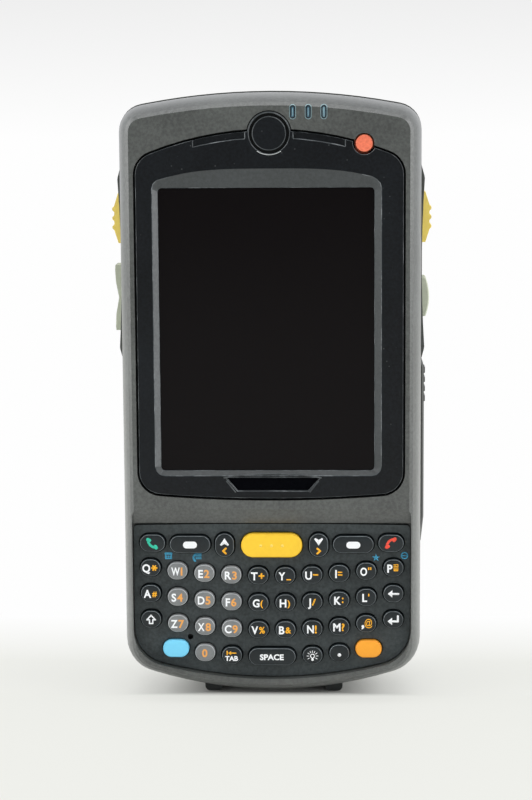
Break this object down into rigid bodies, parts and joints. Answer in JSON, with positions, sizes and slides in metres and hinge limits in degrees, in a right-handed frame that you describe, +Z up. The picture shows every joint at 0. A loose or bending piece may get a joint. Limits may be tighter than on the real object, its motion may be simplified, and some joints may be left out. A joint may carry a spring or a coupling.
{
  "type": "portable barcode data terminal",
  "caption": "Hand-held scanning data terminal with a tall screen, a full letter keypad, side scan buttons, a stylus in the case and a latched battery pack on the back.",
  "frame": {"origin": "on the floor under the middle of the terminal, at the bottom centre of its bounding box", "axes": "+Z up along the terminal, the face with the screen and keys looks along -Y, +X is the terminal's right side as its face is seen"},
  "size_m": [0.0804, 0.042, 0.1534],
  "materials": {
    "housing": "matte",
    "battery": "matte",
    "latch": "matte",
    "side_yellow": "satin",
    "side_grey": "matte",
    "power_red": "satin",
    "bezel": "satin",
    "panel": "gloss",
    "lcd": "matte",
    "plate": "matte",
    "mat": "matte",
    "board": "satin",
    "lens_blue": "gloss",
    "window": "gloss",
    "engine": "matte",
    "camera": "gloss",
    "screws": "satin",
    "stylus": "satin",
    "key_black": "satin",
    "key_grey": "satin",
    "key_yellow": "satin",
    "key_blue_cap": "satin",
    "key_orange_cap": "satin"
  },
  "bodies": {
    "terminal": {"front_housing": "housing", "display_bezel": "bezel", "touch_panel": "panel", "lcd_module": "lcd", "keypad_plate": "plate", "keypad_mat": "mat", "main_board": "board", "led_lenses": "lens_blue", "rear_housing": "housing", "scan_window": "window", "scan_engine": "engine", "camera_module": "camera", "housing_screws": "screws"},
    "battery_pack": {"battery_pack": "battery"},
    "battery_latch_left": {"battery_latch_left": "latch"},
    "battery_latch_right": {"battery_latch_right": "latch"},
    "stylus": {"stylus": "stylus"},
    "power_button": {"power_button": "power_red"},
    "scan_button_left": {"scan_button_left": "side_yellow"},
    "scan_button_right": {"scan_button_right": "side_yellow"},
    "volume_rocker": {"volume_rocker": "side_grey"},
    "action_button": {"action_button": "side_grey"},
    "key_call": {"key_call": "key_black"},
    "key_soft_left": {"key_soft_left": "key_black"},
    "key_up": {"key_up": "key_black"},
    "key_scan": {"key_scan": "key_yellow"},
    "key_down": {"key_down": "key_black"},
    "key_soft_right": {"key_soft_right": "key_black"},
    "key_end": {"key_end": "key_black"},
    "key_q": {"key_q": "key_black"},
    "key_t": {"key_t": "key_black"},
    "key_y": {"key_y": "key_black"},
    "key_u": {"key_u": "key_black"},
    "key_i": {"key_i": "key_black"},
    "key_o": {"key_o": "key_black"},
    "key_p": {"key_p": "key_black"},
    "key_a": {"key_a": "key_black"},
    "key_g": {"key_g": "key_black"},
    "key_h": {"key_h": "key_black"},
    "key_j": {"key_j": "key_black"},
    "key_k": {"key_k": "key_black"},
    "key_l": {"key_l": "key_black"},
    "key_backspace": {"key_backspace": "key_black"},
    "key_shift": {"key_shift": "key_black"},
    "key_v": {"key_v": "key_black"},
    "key_b": {"key_b": "key_black"},
    "key_n": {"key_n": "key_black"},
    "key_m": {"key_m": "key_black"},
    "key_comma": {"key_comma": "key_black"},
    "key_enter": {"key_enter": "key_black"},
    "number_keys_123": {"number_keys_123": "key_grey"},
    "number_keys_456": {"number_keys_456": "key_grey"},
    "number_keys_789": {"number_keys_789": "key_grey"},
    "key_blue": {"key_blue": "key_blue_cap"},
    "key_0": {"key_0": "key_grey"},
    "key_tab": {"key_tab": "key_black"},
    "key_space": {"key_space": "key_black"},
    "key_light": {"key_light": "key_black"},
    "key_dot": {"key_dot": "key_black"},
    "key_orange": {"key_orange": "key_orange_cap"}
  },
  "joints": [
    {"name": "battery_lift", "type": "slide", "parent": "terminal", "child": "battery_pack", "axis": [0, 1, 0], "range_m": [0, 0.03]},
    {"name": "latch_left_press", "type": "slide", "parent": "battery_pack", "child": "battery_latch_left", "axis": [1, 0, 0], "range_m": [0, 0.0012], "stiffness_N_per_m": 400},
    {"name": "latch_right_press", "type": "slide", "parent": "battery_pack", "child": "battery_latch_right", "axis": [-1, 0, 0], "range_m": [0, 0.0012], "stiffness_N_per_m": 400},
    {"name": "stylus_pull", "type": "slide", "parent": "terminal", "child": "stylus", "axis": [0, 0, 1], "range_m": [0, 0.095]},
    {"name": "scan_left_press", "type": "slide", "parent": "terminal", "child": "scan_button_left", "axis": [1, 0, 0], "range_m": [0, 0.0007], "stiffness_N_per_m": 900},
    {"name": "scan_right_press", "type": "slide", "parent": "terminal", "child": "scan_button_right", "axis": [-1, 0, 0], "range_m": [0, 0.0007], "stiffness_N_per_m": 900},
    {"name": "rocker_tilt", "type": "hinge", "parent": "terminal", "child": "volume_rocker", "pos_m": [-0.0367, -0.0015, 0.1016], "axis": [0, 1, 0], "range_deg": [-3, 3], "stiffness_Nm_per_rad": 0.1},
    {"name": "action_button_press", "type": "slide", "parent": "terminal", "child": "action_button", "axis": [-1, 0, 0], "range_m": [0, 0.0007], "stiffness_N_per_m": 700},
    {"name": "power_button_press", "type": "slide", "parent": "terminal", "child": "power_button", "axis": [0, 1, 0], "range_m": [0, 0.0007], "stiffness_N_per_m": 500},
    {"name": "travel_call", "type": "slide", "parent": "terminal", "child": "key_call", "axis": [0, 1, 0], "range_m": [0, 0.0007], "stiffness_N_per_m": 400},
    {"name": "travel_soft_left", "type": "slide", "parent": "terminal", "child": "key_soft_left", "axis": [0, 1, 0], "range_m": [0, 0.0007], "stiffness_N_per_m": 400},
    {"name": "travel_up", "type": "slide", "parent": "terminal", "child": "key_up", "axis": [0, 1, 0], "range_m": [0, 0.0007], "stiffness_N_per_m": 400},
    {"name": "travel_scan", "type": "slide", "parent": "terminal", "child": "key_scan", "axis": [0, 1, 0], "range_m": [0, 0.0007], "stiffness_N_per_m": 400},
    {"name": "travel_down", "type": "slide", "parent": "terminal", "child": "key_down", "axis": [0, 1, 0], "range_m": [0, 0.0007], "stiffness_N_per_m": 400},
    {"name": "travel_soft_right", "type": "slide", "parent": "terminal", "child": "key_soft_right", "axis": [0, 1, 0], "range_m": [0, 0.0007], "stiffness_N_per_m": 400},
    {"name": "travel_end", "type": "slide", "parent": "terminal", "child": "key_end", "axis": [0, 1, 0], "range_m": [0, 0.0007], "stiffness_N_per_m": 400},
    {"name": "travel_q", "type": "slide", "parent": "terminal", "child": "key_q", "axis": [0, 1, 0], "range_m": [0, 0.0007], "stiffness_N_per_m": 400},
    {"name": "travel_t", "type": "slide", "parent": "terminal", "child": "key_t", "axis": [0, 1, 0], "range_m": [0, 0.0007], "stiffness_N_per_m": 400},
    {"name": "travel_y", "type": "slide", "parent": "terminal", "child": "key_y", "axis": [0, 1, 0], "range_m": [0, 0.0007], "stiffness_N_per_m": 400},
    {"name": "travel_u", "type": "slide", "parent": "terminal", "child": "key_u", "axis": [0, 1, 0], "range_m": [0, 0.0007], "stiffness_N_per_m": 400},
    {"name": "travel_i", "type": "slide", "parent": "terminal", "child": "key_i", "axis": [0, 1, 0], "range_m": [0, 0.0007], "stiffness_N_per_m": 400},
    {"name": "travel_o", "type": "slide", "parent": "terminal", "child": "key_o", "axis": [0, 1, 0], "range_m": [0, 0.0007], "stiffness_N_per_m": 400},
    {"name": "travel_p", "type": "slide", "parent": "terminal", "child": "key_p", "axis": [0, 1, 0], "range_m": [0, 0.0007], "stiffness_N_per_m": 400},
    {"name": "travel_a", "type": "slide", "parent": "terminal", "child": "key_a", "axis": [0, 1, 0], "range_m": [0, 0.0007], "stiffness_N_per_m": 400},
    {"name": "travel_g", "type": "slide", "parent": "terminal", "child": "key_g", "axis": [0, 1, 0], "range_m": [0, 0.0007], "stiffness_N_per_m": 400},
    {"name": "travel_h", "type": "slide", "parent": "terminal", "child": "key_h", "axis": [0, 1, 0], "range_m": [0, 0.0007], "stiffness_N_per_m": 400},
    {"name": "travel_j", "type": "slide", "parent": "terminal", "child": "key_j", "axis": [0, 1, 0], "range_m": [0, 0.0007], "stiffness_N_per_m": 400},
    {"name": "travel_k", "type": "slide", "parent": "terminal", "child": "key_k", "axis": [0, 1, 0], "range_m": [0, 0.0007], "stiffness_N_per_m": 400},
    {"name": "travel_l", "type": "slide", "parent": "terminal", "child": "key_l", "axis": [0, 1, 0], "range_m": [0, 0.0007], "stiffness_N_per_m": 400},
    {"name": "travel_backspace", "type": "slide", "parent": "terminal", "child": "key_backspace", "axis": [0, 1, 0], "range_m": [0, 0.0007], "stiffness_N_per_m": 400},
    {"name": "travel_shift", "type": "slide", "parent": "terminal", "child": "key_shift", "axis": [0, 1, 0], "range_m": [0, 0.0007], "stiffness_N_per_m": 400},
    {"name": "travel_v", "type": "slide", "parent": "terminal", "child": "key_v", "axis": [0, 1, 0], "range_m": [0, 0.0007], "stiffness_N_per_m": 400},
    {"name": "travel_b", "type": "slide", "parent": "terminal", "child": "key_b", "axis": [0, 1, 0], "range_m": [0, 0.0007], "stiffness_N_per_m": 400},
    {"name": "travel_n", "type": "slide", "parent": "terminal", "child": "key_n", "axis": [0, 1, 0], "range_m": [0, 0.0007], "stiffness_N_per_m": 400},
    {"name": "travel_m", "type": "slide", "parent": "terminal", "child": "key_m", "axis": [0, 1, 0], "range_m": [0, 0.0007], "stiffness_N_per_m": 400},
    {"name": "travel_comma", "type": "slide", "parent": "terminal", "child": "key_comma", "axis": [0, 1, 0], "range_m": [0, 0.0007], "stiffness_N_per_m": 400},
    {"name": "travel_enter", "type": "slide", "parent": "terminal", "child": "key_enter", "axis": [0, 1, 0], "range_m": [0, 0.0007], "stiffness_N_per_m": 400},
    {"name": "travel_number_keys_123", "type": "slide", "parent": "terminal", "child": "number_keys_123", "axis": [0, 1, 0], "range_m": [0, 0.0007], "stiffness_N_per_m": 400},
    {"name": "travel_number_keys_456", "type": "slide", "parent": "terminal", "child": "number_keys_456", "axis": [0, 1, 0], "range_m": [0, 0.0007], "stiffness_N_per_m": 400},
    {"name": "travel_number_keys_789", "type": "slide", "parent": "terminal", "child": "number_keys_789", "axis": [0, 1, 0], "range_m": [0, 0.0007], "stiffness_N_per_m": 400},
    {"name": "travel_blue", "type": "slide", "parent": "terminal", "child": "key_blue", "axis": [0, 1, 0], "range_m": [0, 0.0007], "stiffness_N_per_m": 400},
    {"name": "travel_0", "type": "slide", "parent": "terminal", "child": "key_0", "axis": [0, 1, 0], "range_m": [0, 0.0007], "stiffness_N_per_m": 400},
    {"name": "travel_tab", "type": "slide", "parent": "terminal", "child": "key_tab", "axis": [0, 1, 0], "range_m": [0, 0.0007], "stiffness_N_per_m": 400},
    {"name": "travel_space", "type": "slide", "parent": "terminal", "child": "key_space", "axis": [0, 1, 0], "range_m": [0, 0.0007], "stiffness_N_per_m": 400},
    {"name": "travel_light", "type": "slide", "parent": "terminal", "child": "key_light", "axis": [0, 1, 0], "range_m": [0, 0.0007], "stiffness_N_per_m": 400},
    {"name": "travel_dot", "type": "slide", "parent": "terminal", "child": "key_dot", "axis": [0, 1, 0], "range_m": [0, 0.0007], "stiffness_N_per_m": 400},
    {"name": "travel_orange", "type": "slide", "parent": "terminal", "child": "key_orange", "axis": [0, 1, 0], "range_m": [0, 0.0007], "stiffness_N_per_m": 400}
  ]
}
